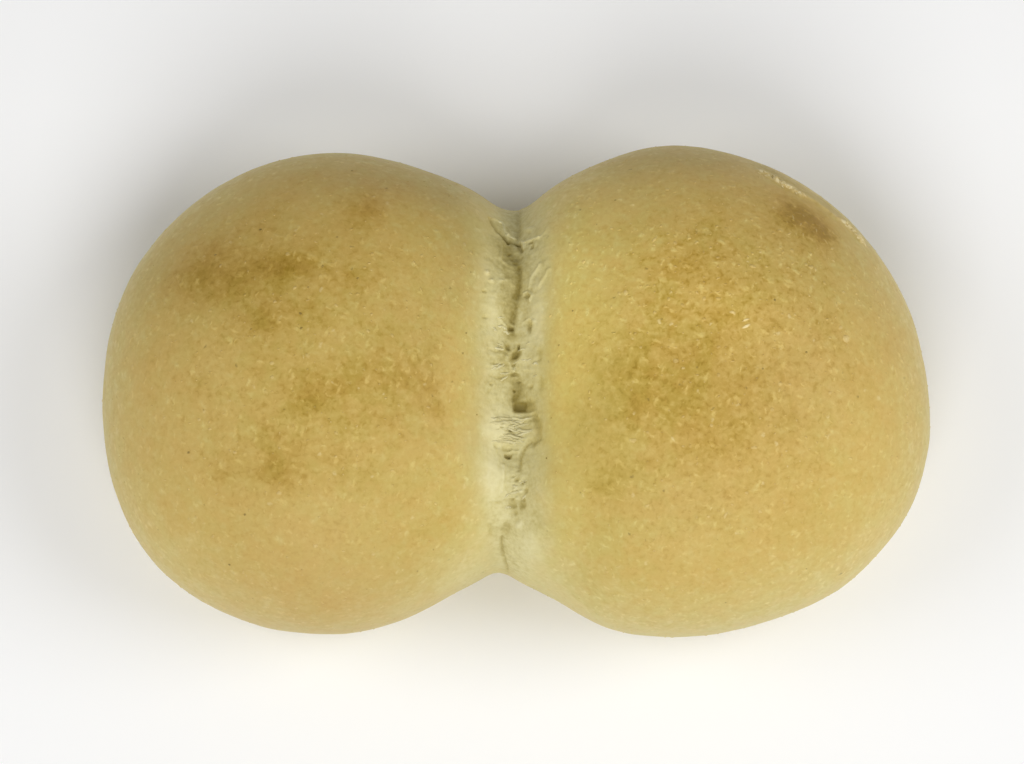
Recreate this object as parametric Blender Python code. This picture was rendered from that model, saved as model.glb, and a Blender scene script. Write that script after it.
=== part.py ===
"""A double potato roll, at its real size in metres, +Z up, standing on z = 0.

Two soft buns were proved and baked side by side, so that they grew into one piece.
Between them runs a valley, where the crust stretched and tore as the roll was pulled a
little way apart, and pale crumb shows with a crevice, pores and two torn flaps. The
right bun also has a torn lip of crust on its far shoulder. The origin is under the
middle of the roll, and +Y is the side away from the viewer.
"""

import math
from dataclasses import dataclass

import bmesh
import bpy
from mathutils import Vector, noise

MM = 0.001

# Both buns: a flat base, a rounded side out to the belly, and a dome above it.
BELLY_HEIGHT = 17.5 * MM  # where a bun is widest
BASE_INSET = 7.0 * MM  # how far the base stays inside the belly
NECK_INSET = 5.5 * MM  # the same where the buns meet
DOME_SQUARENESS = 2.3  # 2 would be an ellipse: a bun is a little fuller at its shoulders
SWELLING_START = 0.3  # where the swellings begin, as a share of the way out
LUMP_RISE = 0.55 * MM  # slow unevenness of a hand-shaped dome
LUMP_SPACING = 21 * MM
SEGMENTS = 72  # round a bun
SIDE_RINGS = 6  # from the base to the belly
DOME_RINGS = 18  # from the belly to the crown


@dataclass
class Bun:
    """One bun seen from above: an egg with swellings, each a direction in degrees
    anticlockwise from +X, how far it stands out, and its spread in degrees."""

    centre: tuple
    outward: int  # -1 where the free end points to -X, 1 to +X
    reach_out: float  # from the centre to the free end
    reach_in: float  # from the centre past the seam
    half_depth: float
    height: float
    lean: tuple  # how much fuller the dome is per metre along X and Y
    swellings: tuple


LEFT_BUN = Bun(
    centre=(-32.9 * MM, -0.3 * MM),
    outward=-1,
    reach_out=41.6 * MM,
    reach_in=36.5 * MM,
    half_depth=43.7 * MM,
    height=49 * MM,
    lean=(0.6, 0.9),
    swellings=(
        (43, 5.2 * MM, 21),
        (-38.5, 4.7 * MM, 16.5),
        (153, 0.5 * MM, 20.5),
        (222, 2.4 * MM, 30),
    ),
)
RIGHT_BUN = Bun(
    centre=(29.7 * MM, -0.4 * MM),
    outward=1,
    reach_out=43.8 * MM,
    reach_in=33.5 * MM,
    half_depth=44.0 * MM,
    height=51 * MM,
    lean=(-0.4, 0.9),
    swellings=(
        (134, 5.1 * MM, 22),
        (222, 8.1 * MM, 15.6),
        (250, 2.0 * MM, 12.5),
        (95, 1.0 * MM, 22),
        (308, 0.6 * MM, 9),
        (334, 2.7 * MM, 28),
    ),
)

# The web of crust that rounds out the two notches, where the buns grew together.
WEB_MIDDLE = -0.9 * MM
WEB_NEAR, WEB_FAR = -31.5 * MM, 32.7 * MM  # how far it comes out into each notch
WEB_HALF_WIDTH = 3.4 * MM
WEB_FLARE = 90  # its edges swing out to the buns by this times the square of the way
WEB_CROWN = 35 * MM
WEB_COLUMNS = 6
WEB_RINGS = 13  # from the belly up, then its flat top lies inside the crumb

# The torn crumb in the valley. Its lines run from the near notch to the far one, each
# point a Y and an X in millimetres.
LEFT_EDGE = ((-31, -3.2), (-22, -5.9), (-9, -7.2), (8, -7.4), (19, -7.0), (30.5, -3.2))
RIGHT_EDGE = ((-31, -1.0), (-22, 1.4), (-13, 2.8), (0, 4.4), (21, 4.4), (30.5, 1.2))
CREVICE = ((-31, -1.9), (-22, -0.4), (-14, -1.6), (-6, 0.4), (8, -0.8), (30.5, 0.2))
CRUMB_STEP = 0.9 * MM  # between sections
CRUMB_COLUMNS = 8  # steps from the crevice to an edge
CRUMB_FILL = 4.6 * MM  # how far it fills the bottom of the valley
CRUMB_HANG = 1.4  # power of its curve from the crevice up to an edge: 2 is a parabola
CRUMB_END = 7  # power by which its fill and relief stop short of the notches
CRUMB_ROOT = 4.0 * MM  # how deep it goes into the buns
EDGE_DIP = 0.4 * MM  # how far its edges dip under the crust
EDGE_RAGGEDNESS = 0.9 * MM  # how far they wander
EDGE_ROOT = 1.0 * MM  # how far they go on into the buns
STRAND_RELIEF = 0.5 * MM  # ridges of crumb pulled from one bun towards the other
STRAND_SIZE = (6.0 * MM, 2.2 * MM)
CRAG_RELIEF = 0.4 * MM
CRAG_SIZE = 2.4 * MM
CREVICE_DEPTH = 1.8 * MM
CREVICE_HALF_WIDTH = 0.8 * MM
# Open pores in the crumb, in millimetres: X, Y, length along X and along Y, and depth.
PORES = (
    (1.4, -5.7, 3.8, 1.9, 2.4),
    (-0.1, -2.4, 1.3, 3.2, 2.0),
    (-1.0, 7.4, 1.6, 2.0, 2.2),
    (-1.8, -14.6, 1.6, 1.4, 2.0),
    (-0.1, -21.5, 1.2, 3.6, 1.8),
    (0.5, 21.8, 1.5, 3.6, 2.2),
    (-0.9, 24.2, 2.4, 1.3, 1.6),
    (2.3, 9.0, 0.9, 2.0, 1.6),
)
PORE_SEGMENTS = 8

# Torn lips of crust that stand off the surface, in millimetres: each one's rise and width,
# and the X and Y of the points it runs through, with its steep side on the right.
TORN_LIPS = {
    # Along the right bun's far shoulder.
    "shoulder_lip": (0.8, 1.7, ((62.8, 26.0), (56.0, 31.4), (47.3, 37.1), (43.4, 38.4))),
    # Two flaps over the crevice's far end.
    "left_flap": (0.9, 1.5, ((-5.4, 30.0), (-3.2, 29.2), (-2.1, 26.6), (-0.4, 25.4))),
    "right_flap": (0.8, 1.4, ((0.8, 24.9), (2.0, 25.5), (4.2, 26.1), (5.8, 28.2))),
}
LIP_STEP = 0.9 * MM  # between a lip's sections
LIP_RAGGEDNESS = 0.5  # how much its size varies, as a share
LIP_ROOT = 1.2 * MM  # how deep it goes into the crust


def turn(angle):
    """The angle brought to within half a turn of zero."""
    return (angle + math.pi) % math.tau - math.pi


def smooth(share):
    """From 0 to 1 with level ends."""
    share = min(max(share, 0.0), 1.0)
    return share * share * (3 - 2 * share)


def egg_radius(bun, angle):
    """The bun's plain outline, without its swellings."""
    along, across = math.cos(angle), math.sin(angle)
    reach = bun.reach_out if along * bun.outward > 0 else bun.reach_in
    return 1 / math.hypot(along / reach, across / bun.half_depth)


def swelling(bun, angle):
    """How far the belly stands out past the plain outline in this direction."""
    return sum(
        size * math.exp(-((turn(angle - math.radians(way)) / math.radians(spread)) ** 2))
        for way, size, spread in bun.swellings
    )


def belly_radius(bun, angle):
    return egg_radius(bun, angle) + swelling(bun, angle)


def dome_height(bun, x, y):
    """Height of the bun's upper surface over a point, or of its belly outside it."""
    dx, dy = x - bun.centre[0], y - bun.centre[1]
    reach, angle = math.hypot(dx, dy), math.atan2(dy, dx)
    egg = egg_radius(bun, angle)
    # The swellings belong to the belly, and are gone by SWELLING_START on the way in.
    grown = smooth((reach / egg - SWELLING_START) / (1 - SWELLING_START))
    radius = egg + swelling(bun, angle) * grown
    out = min(reach / radius, 1.0)
    rise = math.sqrt(1 - out**DOME_SQUARENESS)
    lean = 1 + (bun.lean[0] * dx + bun.lean[1] * dy) * (1 - out)
    lump = noise.noise(Vector((x, y, bun.height)) / LUMP_SPACING) * LUMP_RISE
    return BELLY_HEIGHT + (bun.height - BELLY_HEIGHT) * rise * lean + lump * rise


def mesh_object(name, shape):
    """A new object that holds the finished bmesh, its faces turned outwards."""
    bmesh.ops.recalc_face_normals(shape, faces=shape.faces)
    mesh = bpy.data.meshes.new(name)
    shape.to_mesh(mesh)
    shape.free()
    made = bpy.data.objects.new(name, mesh)
    bpy.context.scene.collection.objects.link(made)
    return made


def skin(name, rings, tip=None):
    """A closed surface over rings of points: the first ring is capped with one face,
    and the last with one face, or with a fan to the tip."""
    shape = bmesh.new()
    loops = [[shape.verts.new(point) for point in ring] for ring in rings]
    count = len(loops[0])
    for lower, upper in zip(loops, loops[1:]):
        for i in range(count):
            j = (i + 1) % count
            shape.faces.new((lower[i], lower[j], upper[j], upper[i]))
    shape.faces.new(loops[0])
    if tip is None:
        shape.faces.new(loops[-1])
    else:
        top = shape.verts.new(tip)
        for i in range(count):
            shape.faces.new((loops[-1][i], loops[-1][(i + 1) % count], top))
    return mesh_object(name, shape)


def side_ring(bun, angles, turned):
    """A ring of the rounded side: a quarter turn down from the belly is the base."""
    ring = []
    for angle in angles:
        towards_neck = max(0.0, -bun.outward * math.cos(angle)) ** 2
        inset = BASE_INSET + (NECK_INSET - BASE_INSET) * towards_neck
        radius = belly_radius(bun, angle) - inset * (1 - math.cos(turned))
        x = bun.centre[0] + radius * math.cos(angle)
        y = bun.centre[1] + radius * math.sin(angle)
        ring.append((x, y, BELLY_HEIGHT * (1 - math.sin(turned))))
    return ring


def dome_ring(bun, angles, share):
    """A ring of the dome, at this share of the way out to the belly."""
    ring = []
    for angle in angles:
        radius = belly_radius(bun, angle) * share
        x = bun.centre[0] + radius * math.cos(angle)
        y = bun.centre[1] + radius * math.sin(angle)
        ring.append((x, y, dome_height(bun, x, y)))
    return ring


def make_bun(name, bun):
    """One bun as rings from the edge of its base, round the belly, to the crown."""
    angles = [math.tau * i / SEGMENTS for i in range(SEGMENTS)]
    quarter = math.pi / 2
    rings = [
        side_ring(bun, angles, quarter * (1 - level / SIDE_RINGS))
        for level in range(SIDE_RINGS)
    ]
    # Squeezed towards the belly, where the dome is steepest.
    rings += [
        dome_ring(bun, angles, math.cos(quarter * level / DOME_RINGS) ** (2 / DOME_SQUARENESS))
        for level in range(DOME_RINGS)
    ]
    return skin(name, rings, (*bun.centre, dome_height(bun, *bun.centre)))


def web_ring(share, inset, height):
    """One level of the web: its far edge from left to right, then its near edge back."""
    ring = []
    for outward, reach in ((1, WEB_FAR), (-1, WEB_NEAR)):
        for column in range(WEB_COLUMNS + 1):
            aside = outward * WEB_HALF_WIDTH * (2 * column / WEB_COLUMNS - 1)
            edge = (reach + outward * (WEB_FLARE * aside**2 - inset)) * share
            ring.append((WEB_MIDDLE + aside, edge, height))
    return ring


def make_web():
    """The web has a bun's profile, so its edges are level with theirs."""
    quarter = math.pi / 2
    rings = []
    for level in range(1, SIDE_RINGS):
        turned = quarter * (1 - level / SIDE_RINGS)
        inset = NECK_INSET * (1 - math.cos(turned))
        rings.append(web_ring(1, inset, BELLY_HEIGHT * (1 - math.sin(turned))))
    for level in range(WEB_RINGS):
        share = math.cos(quarter * level / DOME_RINGS) ** (2 / DOME_SQUARENESS)
        rise = math.sqrt(1 - share**DOME_SQUARENESS)
        rings.append(web_ring(share, 0, BELLY_HEIGHT + (WEB_CROWN - BELLY_HEIGHT) * rise))
    return skin("web", rings)


def line_at(points, y):
    """X at this Y, both in metres, on a smooth line through points in millimetres."""
    place = y / MM
    i = 0
    while i < len(points) - 2 and place > points[i + 1][0]:
        i += 1
    (start, low), (end, high) = points[i], points[i + 1]
    before, after = points[max(i - 1, 0)], points[min(i + 2, len(points) - 1)]
    span = end - start
    rate_in = (high - before[1]) / (end - before[0]) * span
    rate_out = (after[1] - low) / (after[0] - start) * span
    t = (place - start) / span
    return MM * (
        low * (1 + 2 * t) * (1 - t) ** 2
        + rate_in * t * (1 - t) ** 2
        + high * t * t * (3 - 2 * t)
        + rate_out * t * t * (t - 1)
    )


def torn_edge(line, y):
    """X of the crust's torn edge at this Y: the smooth line, made ragged."""
    ragged = noise.noise(Vector((line[0][1], y / CRAG_SIZE, 1.5)))
    return line_at(line, y) + ragged * EDGE_RAGGEDNESS


def crumb_relief(x, y):
    """The crumb's unevenness: strands pulled from bun to bun, and crags."""
    strands = noise.noise(Vector((x / STRAND_SIZE[0], y / STRAND_SIZE[1], 0.0)))
    crags = noise.noise(Vector((x, y, 0.0)) / CRAG_SIZE + Vector((0, 0, 5.5)))
    return strands * STRAND_RELIEF + crags * CRAG_RELIEF


def crumb_section(y, fade):
    """The crumb's top across the valley at one Y, from its left edge over the crevice
    to its right edge, and then its root. Its relief and fill fade towards the notches."""
    middle = line_at(CREVICE, y)
    valley = min(dome_height(LEFT_BUN, middle, y), dome_height(RIGHT_BUN, middle, y))
    floor = valley + CRUMB_FILL * fade
    left, right = torn_edge(LEFT_EDGE, y), torn_edge(RIGHT_EDGE, y)
    top = []
    for column in range(-CRUMB_COLUMNS, CRUMB_COLUMNS + 1):
        bun, edge = (LEFT_BUN, left) if column < 0 else (RIGHT_BUN, right)
        out = abs(column) / CRUMB_COLUMNS
        x = middle + (edge - middle) * out
        z = floor + (dome_height(bun, edge, y) - floor) * out**CRUMB_HANG
        crevice = CREVICE_DEPTH * math.exp(-(((x - middle) / CREVICE_HALF_WIDTH) ** 2))
        z += fade * (crumb_relief(x, y) * (1 - out**2) - crevice) - EDGE_DIP * out**3
        top.append((x, y, z))
    under = valley - EDGE_ROOT
    root = valley - CRUMB_ROOT
    return [
        (left - EDGE_ROOT, y, min(top[0][2] - EDGE_ROOT, under)),
        *top,
        (right + EDGE_ROOT, y, min(top[-1][2] - EDGE_ROOT, under)),
        ((right + middle) / 2, y, root),
        ((left + middle) / 2, y, root),
    ]


def make_torn_crumb():
    """The crumb as sections across the valley, sunk into both buns."""
    near, far = LEFT_EDGE[0][0] * MM, LEFT_EDGE[-1][0] * MM
    count = round((far - near) / CRUMB_STEP)
    rings = []
    for station in range(count + 1):
        share = station / count
        fade = 1 - abs(2 * share - 1) ** CRUMB_END
        section = crumb_section(near + (far - near) * share, fade)
        sunk = CRUMB_FILL / 2 if station in (0, count) else 0
        rings.append([(x, y, z - sunk) for x, y, z in section])
    return skin("torn_crumb", rings)


def surface(roll, x, y):
    """The roll's surface straight under a point: the place and its normal."""
    _, place, normal, _ = roll.ray_cast(Vector((x, y, 1)), Vector((0, 0, -1)))
    return place, normal


def make_torn_lip(roll, name, rise, width, points):
    """A ragged ridge along the surface, lower and thinner at its ends."""
    stops = [Vector(point) * MM for point in points]
    lengths = [(b - a).length for a, b in zip(stops, stops[1:])]
    count = round(sum(lengths) / LIP_STEP)
    rings = []
    for station in range(count + 1):
        share = station / count
        leg, gone = 0, share * sum(lengths)
        while leg < len(lengths) - 1 and gone > lengths[leg]:
            gone -= lengths[leg]
            leg += 1
        run = (stops[leg + 1] - stops[leg]).normalized()
        foot, up = surface(roll, *(stops[leg] + run * gone))
        ragged = noise.noise(foot / CRAG_SIZE) * LIP_RAGGEDNESS
        size = (1 - abs(2 * share - 1) ** 4) * (1 + ragged)
        side = run.to_3d().cross(up).normalized() * width * (0.4 + 0.6 * size)
        top = up * rise * (size - 0.15)
        root = up * -LIP_ROOT
        rings.append(
            [
                foot + root - side * 0.8,
                foot + top * 0.5 - side * 0.7,
                foot + top - side * 0.05,
                foot + top * 0.8 + side * 0.2,
                foot + root + side * 0.25,
            ]
        )
    return skin(name, rings)


def make_pore(roll, index, pore):
    """A cutter for one pore: an upright egg half sunk in the crumb's surface."""
    x, y, length, width, depth = (value * MM for value in pore)
    shape = bmesh.new()
    bmesh.ops.create_uvsphere(
        shape, u_segments=PORE_SEGMENTS, v_segments=PORE_SEGMENTS // 2 + 1, radius=1
    )
    bmesh.ops.scale(shape, vec=(length / 2, width / 2, depth), verts=shape.verts)
    bmesh.ops.translate(shape, vec=surface(roll, x, y)[0], verts=shape.verts)
    return mesh_object(f"pore_{index}", shape)


def combine(target, others, operation):
    """Joins the other solids to the target, or cuts them from it, and removes them."""
    group = bpy.data.collections.new(operation)
    for other in others:
        group.objects.link(other)
    step = target.modifiers.new(operation, "BOOLEAN")
    step.operation = operation
    step.operand_type = "COLLECTION"
    step.collection = group
    bpy.context.view_layer.objects.active = target
    bpy.ops.object.modifier_apply(modifier=step.name)
    for other in others:
        bpy.data.objects.remove(other)
    bpy.data.collections.remove(group)
    bpy.context.view_layer.update()


def stand_at_origin(roll):
    """Puts the origin under the middle of the roll."""
    xs = [vertex.co.x for vertex in roll.data.vertices]
    ys = [vertex.co.y for vertex in roll.data.vertices]
    middle = Vector(((min(xs) + max(xs)) / 2, (min(ys) + max(ys)) / 2, 0))
    for vertex in roll.data.vertices:
        vertex.co -= middle


def crust_material():
    """Soft golden crust, matt with a faint sheen."""
    crust = bpy.data.materials.new("golden_crust")
    crust.use_nodes = True
    shader = crust.node_tree.nodes["Principled BSDF"]
    shader.inputs["Base Color"].default_value = (0.54, 0.36, 0.12, 1)
    shader.inputs["Roughness"].default_value = 0.55
    shader.inputs["Metallic"].default_value = 0.0
    return crust


for leftover in list(bpy.data.objects):
    bpy.data.objects.remove(leftover)

potato_bread = make_bun("potato_bread", LEFT_BUN)
combine(
    potato_bread, [make_bun("right_bun", RIGHT_BUN), make_web(), make_torn_crumb()], "UNION"
)
lips = [
    make_torn_lip(potato_bread, name, rise * MM, width * MM, points)
    for name, (rise, width, points) in TORN_LIPS.items()
]
pores = [make_pore(potato_bread, i, pore) for i, pore in enumerate(PORES)]
combine(potato_bread, lips, "UNION")
combine(potato_bread, pores, "DIFFERENCE")
stand_at_origin(potato_bread)
potato_bread.data.materials.clear()
potato_bread.data.materials.append(crust_material())
potato_bread.data.shade_smooth()
potato_bread.data.set_sharp_from_angle(angle=math.radians(50))
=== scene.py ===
"""The potato roll as it looks: two soft buns that grew into one piece in the oven, their
thin golden crust, and the pale torn seam between them. Metres, +Z up, on z = 0.
"""

import math
import random

import bpy
import numpy as np
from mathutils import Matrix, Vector, noise
from mathutils.bvhtree import BVHTree


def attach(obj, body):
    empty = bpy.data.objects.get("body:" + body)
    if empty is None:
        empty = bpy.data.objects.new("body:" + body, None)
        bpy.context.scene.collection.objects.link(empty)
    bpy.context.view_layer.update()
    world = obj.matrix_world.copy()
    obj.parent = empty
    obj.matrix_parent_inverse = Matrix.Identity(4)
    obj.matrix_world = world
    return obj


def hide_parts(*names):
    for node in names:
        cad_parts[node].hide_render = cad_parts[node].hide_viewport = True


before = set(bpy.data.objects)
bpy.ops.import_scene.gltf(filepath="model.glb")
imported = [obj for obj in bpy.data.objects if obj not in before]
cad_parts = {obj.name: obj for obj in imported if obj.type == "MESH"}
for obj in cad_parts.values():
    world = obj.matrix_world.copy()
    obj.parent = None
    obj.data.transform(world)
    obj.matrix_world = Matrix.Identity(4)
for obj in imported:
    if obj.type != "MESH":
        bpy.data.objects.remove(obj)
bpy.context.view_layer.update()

# ------------------------------------------------------------------------ the baked dough
# Two proved balls of potato dough that were baked side by side and grew together. Their
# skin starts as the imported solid's own surface, laid out again as an even net of small
# faces, with its flat facets eased out.
MM = 0.001
SKIN_MESH = 1.25 * MM
FACET_EASING = 17  # rounds of smoothing, about 2.3 mm wide
DIMPLES = ((9.0, 0.16), (4.2, 0.07))  # spacing and height in mm of the slow unevenness
LEVEL_BASE = (1.0, 6.0)  # where the dimples start, and how far up they take to grow


def alone(piece):
    """Makes this piece the only one selected."""
    bpy.ops.object.select_all(action="DESELECT")
    piece.select_set(True)
    bpy.context.view_layer.objects.active = piece


def finish_step(piece, kind, **settings):
    """Adds one modifier and applies it."""
    step = piece.modifiers.new(kind.lower(), kind)
    for name, value in settings.items():
        setattr(step, name, value)
    alone(piece)
    bpy.ops.object.modifier_apply(modifier=step.name)


def places(piece):
    """Its vertices as rows of X, Y and Z in millimetres."""
    rows = np.empty(len(piece.data.vertices) * 3, np.float32)
    piece.data.vertices.foreach_get("co", rows)
    return rows.reshape(-1, 3).astype(float) / MM


def outward(piece):
    """The direction that its surface faces at each vertex."""
    rows = np.empty(len(piece.data.vertices) * 3, np.float32)
    piece.data.vertex_normals.foreach_get("vector", rows)
    return rows.reshape(-1, 3).astype(float)


def reshape(piece, rows):
    """Moves its vertices to these places in millimetres."""
    piece.data.vertices.foreach_set("co", (rows * MM).astype(np.float32).ravel())
    piece.data.update()


def fade_in(value, start, reach):
    """0 up to the start, then rising evenly to 1 over this reach."""
    return np.clip((value - start) / reach, 0, 1)


def uneven(rows, size, turn=0.0):
    """Soft noise from -1 to 1 at each place, with lumps of this size in millimetres."""
    shift = Vector((turn, -turn, 2 * turn))
    scale = Vector(1 / step for step in size)
    return np.array([noise.noise(Vector(row) * scale + shift) for row in rows])


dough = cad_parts["potato_bread"].data.copy()
bread_crust = bpy.data.objects.new("bread_crust", dough)
bpy.context.scene.collection.objects.link(bread_crust)
bread_crust.data.materials.clear()
alone(bread_crust)
bpy.ops.object.mode_set(mode="EDIT")
bpy.ops.mesh.select_all(action="SELECT")
bpy.ops.mesh.remove_doubles(threshold=0.00001)
bpy.ops.object.mode_set(mode="OBJECT")
finish_step(bread_crust, "REMESH", mode="VOXEL", voxel_size=SKIN_MESH)
finish_step(bread_crust, "SMOOTH", factor=0.5, iterations=FACET_EASING)

skin = places(bread_crust)
dimple = sum(rise * uneven(skin, (gap, gap, gap), gap) for gap, rise in DIMPLES)
dimple *= fade_in(skin[:, 2], *LEVEL_BASE)
reshape(bread_crust, skin + outward(bread_crust) * dimple[:, None])

# ------------------------------------------------------------------------- the torn seam
# Where the buns grew together the crust stretched and split as they were pulled a little
# way apart. Pale moist crumb shows there, with open pores, folds, two torn flaps of skin
# at the far end and strands that run from bun to bun. All places are X and Y in mm.
SEAM_LEFT = (
    (-34, -2.6), (-31.7, -3.9), (-27, -5.4), (-19, -6.4), (-10, -6.5), (-1, -6.4),
    (8, -6.4), (16.5, -5.9), (24.6, -5.0), (33.5, -3.2),
)
SEAM_RIGHT = (
    (-35, 2.2), (-30.3, 5.2), (-24.5, 4.3), (-17.5, 4.3), (-10, 4.5), (-1.4, 4.5),
    (5.7, 4.8), (13, 5.2), (20.4, 5.3), (25.2, 5.1), (33.0, 2.4),
)
SEAM_MARGIN = 2.1  # how far the fine net goes on past the torn edges
SEAM_SOFTNESS = 1.1  # how far the cream fades into the gold
SEAM_RAGGEDNESS = 0.8
SEAM_RAGS = (2.2, 2.2, 2.2)  # size of the rags of its edges
SEAM_ENDS = (15.0, 8.0)  # the height where it starts, and how far up it takes to show
NET_FROM = 16.0  # the fine net starts at this height
NET_LEAN = -0.1  # how far the skin may lean over, as the Z that it faces, and still get it
NET_CUTS = 5  # each small face of the skin is cut this often along its sides
NET_EASING = 16  # rounds of smoothing after that
RELIEF_FROM = (0.6, 0.8)  # how far inside the net's edge the relief starts, and its fade
WANDER = 0.2  # how far furrows, folds and pores stray from their marked places

# Furrows: depth, half width, and the points that each runs through.
FURROWS = (
    (
        0.50, 0.28,
        ((-4.8, 29.4), (-4.2, 28.3), (-3.5, 27.1), (-2.7, 26.3), (-2.0, 25.5), (-1.4, 24.8)),
    ),
    (0.34, 0.27, ((-2.1, 25.4), (-1.3, 25.1), (-0.5, 24.9), (0.2, 24.5))),
    (0.48, 0.36, ((0.2, 24.5), (0.6, 23.8), (0.9, 23.0))),
    (0.30, 0.44, ((0.3, 32.6), (0.4, 29.0), (0.4, 26.9), (0.2, 25.6))),
    (0.36, 0.88, ((0.2, 21.6), (0.3, 18.5), (0.1, 15.0))),
    (0.32, 0.70, ((-0.1, 15.0), (-0.5, 11.0), (-0.7, 9.4))),
    (0.26, 0.36, ((0.4, 19.8), (0.4, 18.0), (0.2, 15.4), (-0.3, 12.6), (-0.8, 9.6))),
    (0.20, 1.20, ((-1.5, 20.5), (-1.4, 15.0), (-1.2, 10.0))),
    (0.34, 0.95, ((0.2, -1.5), (0.0, -3.0), (0.0, -4.4))),
    (0.14, 0.24, ((-4.4, 1.9), (-3.0, 1.8), (-1.4, 2.0))),
    (0.15, 0.22, ((-4.9, 4.5), (-3.6, 4.2), (-2.6, 4.4))),
    (0.15, 0.22, ((-4.6, -0.3), (-3.4, -0.6), (-2.2, -0.4))),
    (0.20, 0.42, ((4.0, 4.0), (4.0, 2.5))),
    (0.18, 0.36, ((4.3, -0.9), (4.3, -2.6))),
    (0.52, 0.58, ((3.0, -7.3), (3.5, -8.4), (3.9, -9.8), (3.8, -11.6), (3.0, -12.4))),
    (0.40, 0.40, ((2.3, -11.9), (1.4, -12.9), (0.8, -14.2), (0.4, -15.6), (0.4, -17.0))),
    (0.22, 0.22, ((-4.6, -22.6), (-3.2, -22.7), (-1.9, -22.2))),
    (0.36, 0.22, ((-2.6, -28.2), (-2.7, -29.6), (-2.4, -31.1), (-1.7, -33.0))),
    (0.10, 0.50, ((-2.6, -29.6), (-2.3, -31.2), (-1.6, -33.1))),
)
# Folds and torn rims that stand up: height, half width and points.
FOLDS = (
    (
        0.26, 0.20,
        ((-4.7, 29.6), (-3.5, 29.0), (-2.7, 28.9), (-2.3, 28.3), (-2.1, 27.0), (-1.7, 26.2)),
    ),
    (0.30, 0.20, ((-1.7, 26.2), (-0.9, 25.8), (-0.2, 25.6))),
    (0.30, 0.24, ((1.0, 24.7), (1.9, 24.8), (2.8, 25.0), (4.0, 25.1))),
    (0.12, 0.24, ((4.0, 25.1), (4.9, 25.7), (5.7, 26.7))),
    (0.22, 0.20, ((1.3, 24.7), (1.4, 24.0), (1.2, 23.3))),
    (0.16, 0.24, ((-2.5, 24.0), (-2.7, 21.3), (-1.7, 20.3), (-0.6, 19.9))),
    (0.16, 0.26, ((-3.2, 17.0), (-2.0, 17.4), (-0.9, 17.2), (-0.7, 16.3))),
    (0.18, 0.30, ((4.2, 19.8), (3.3, 18.5), (2.5, 17.4), (2.2, 15.7))),
    (0.15, 0.28, ((5.7, 18.6), (4.7, 17.0), (4.0, 15.6))),
    (0.22, 0.22, ((1.3, 14.8), (2.1, 15.0), (2.8, 14.3), (2.5, 13.3))),
    (0.16, 0.22, ((1.2, 9.6), (2.4, 10.0), (3.4, 9.4))),
    (0.20, 0.20, ((-3.1, 10.3), (-2.3, 9.2), (-1.7, 8.7))),
    (0.20, 0.20, ((-2.6, 5.8), (-2.2, 4.7), (-1.6, 3.1), (-1.0, 1.6))),
    (0.26, 0.22, ((-0.6, -7.6), (0.9, -7.9), (2.6, -7.6))),
    (0.26, 0.22, ((-1.3, -13.6), (-0.4, -13.3), (0.3, -13.5))),
    (0.20, 0.26, ((-2.4, -16.0), (-2.2, -18.5), (-2.6, -20.6))),
    (0.18, 0.26, ((3.4, -20.6), (4.6, -22.3), (5.4, -23.4))),
)
# Open pores and hollows: X, Y, half length, half width, turn in degrees, and depth.
PORES = (
    (-1.0, 8.35, 0.55, 0.42, -20, 0.80),
    (2.3, 8.75, 0.95, 0.45, 90, 0.65),
    (-1.95, 4.05, 0.42, 0.30, 110, 0.45),
    (-1.45, 4.95, 0.5, 0.34, 90, 0.45),
    (-0.15, 3.55, 1.05, 0.58, 56, 0.90),
    (0.2, 5.05, 0.6, 0.22, 85, 0.72),
    (-0.6, 1.85, 0.42, 0.24, 25, 0.45),
    (-0.4, 0.10, 0.60, 0.30, 8, 0.50),
    (0.4, -1.05, 0.3, 0.14, 0, 0.36),
    (-0.3, -3.95, 0.7, 0.5, 90, 0.35),
    (-0.4, -2.55, 0.26, 0.24, 0, 0.45),
    (-4.4, -1.75, 0.36, 0.2, -10, 0.36),
    (2.5, -2.15, 0.45, 0.3, 0, 0.29),
    (-0.2, -9.15, 0.4, 0.2, 0, 0.86),
    (-1.1, -9.85, 0.5, 0.17, -10, 0.79),
    (-2.8, -9.35, 0.26, 0.16, 0, 0.58),
    (-2, -9.65, 0.5, 0.12, -10, 0.43),
    (-0.7, -10.65, 0.36, 0.2, 10, 0.5),
    (-0.1, -11.75, 0.3, 0.15, 0, 0.43),
    (-3.5, -12.65, 0.6, 0.45, 0, 0.25),
    (-1.8, -12.95, 0.7, 0.5, 0, 0.32),
    (-1.5, -14.35, 0.52, 0.46, 0, 0.9),
    (0, -18.75, 0.46, 0.36, 0, 0.42),
    (-0.7, -18.15, 0.3, 0.2, 0, 0.35),
    (1.1, -19.35, 0.46, 0.4, 30, 0.45),
    (1.6, -20.95, 0.50, 0.40, 60, 0.40),
    (-0.9, -22.05, 0.4, 0.28, 0, 0.30),
    (1.1, -22.35, 0.36, 0.26, 20, 0.26),
    (-0.7, -23.15, 0.70, 0.6, 0, 0.24),
    (1, -23.15, 0.70, 0.58, 0, 0.24),
    (-0.5, -24.55, 0.6, 0.46, 10, 0.32),
    (-1.8, -26.75, 0.95, 0.75, 60, 0.3),
    (-4.6, -26.85, 0.7, 0.5, 110, 0.22),
    (-5.7, 14.85, 0.28, 0.24, 0, 0.36),
    (-5.6, 10.15, 0.4, 0.22, 0, 0.29),
    (-1.2, 22.4, 0.36, 0.26, 40, 0.32),
    (-0.6, 21.5, 0.3, 0.22, 0, 0.20),
    (-0.2, 20.6, 0.36, 0.26, 0, 0.22),
    (2.5, 24.25, 0.36, 0.25, 0, 0.58),
    (2.7, 23.35, 0.36, 0.24, 80, 0.58),
    (2, 14.15, 0.55, 0.45, 0, 0.36),
)
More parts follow.
